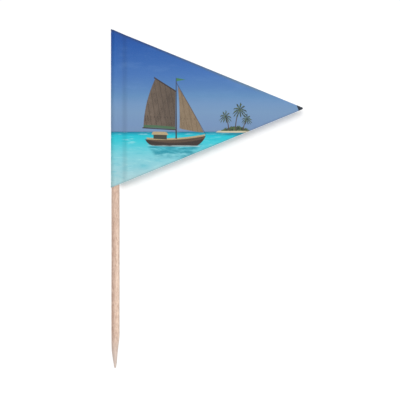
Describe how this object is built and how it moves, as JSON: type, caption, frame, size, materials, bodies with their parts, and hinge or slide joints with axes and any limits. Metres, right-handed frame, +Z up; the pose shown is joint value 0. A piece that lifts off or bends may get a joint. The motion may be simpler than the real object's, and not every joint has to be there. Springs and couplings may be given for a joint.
{
  "type": "flag toothpick",
  "caption": "Pointed wooden cocktail stick with a printed triangular paper flag folded round its blunt end and glued leaf to leaf.",
  "frame": {"origin": "the stick's point, on the stick's axis", "axes": "+Z up the stick from its point to the flag, +X along the fly of the flag from the stick to the tip, and the front leaf faces -Y"},
  "size_m": [0.0461, 0.0022, 0.0809],
  "materials": {
    "birch_wood": "bare, fine-grained, matt",
    "printed_paper": "coated, printed in blue and turquoise, satin",
    "clear_glue": "soft, dried pressure-sensitive glue"
  },
  "bodies": {
    "root": {"wooden_stick": "birch_wood", "flag_sheet": "printed_paper", "glue_film": "clear_glue"}
  },
  "joints": []
}
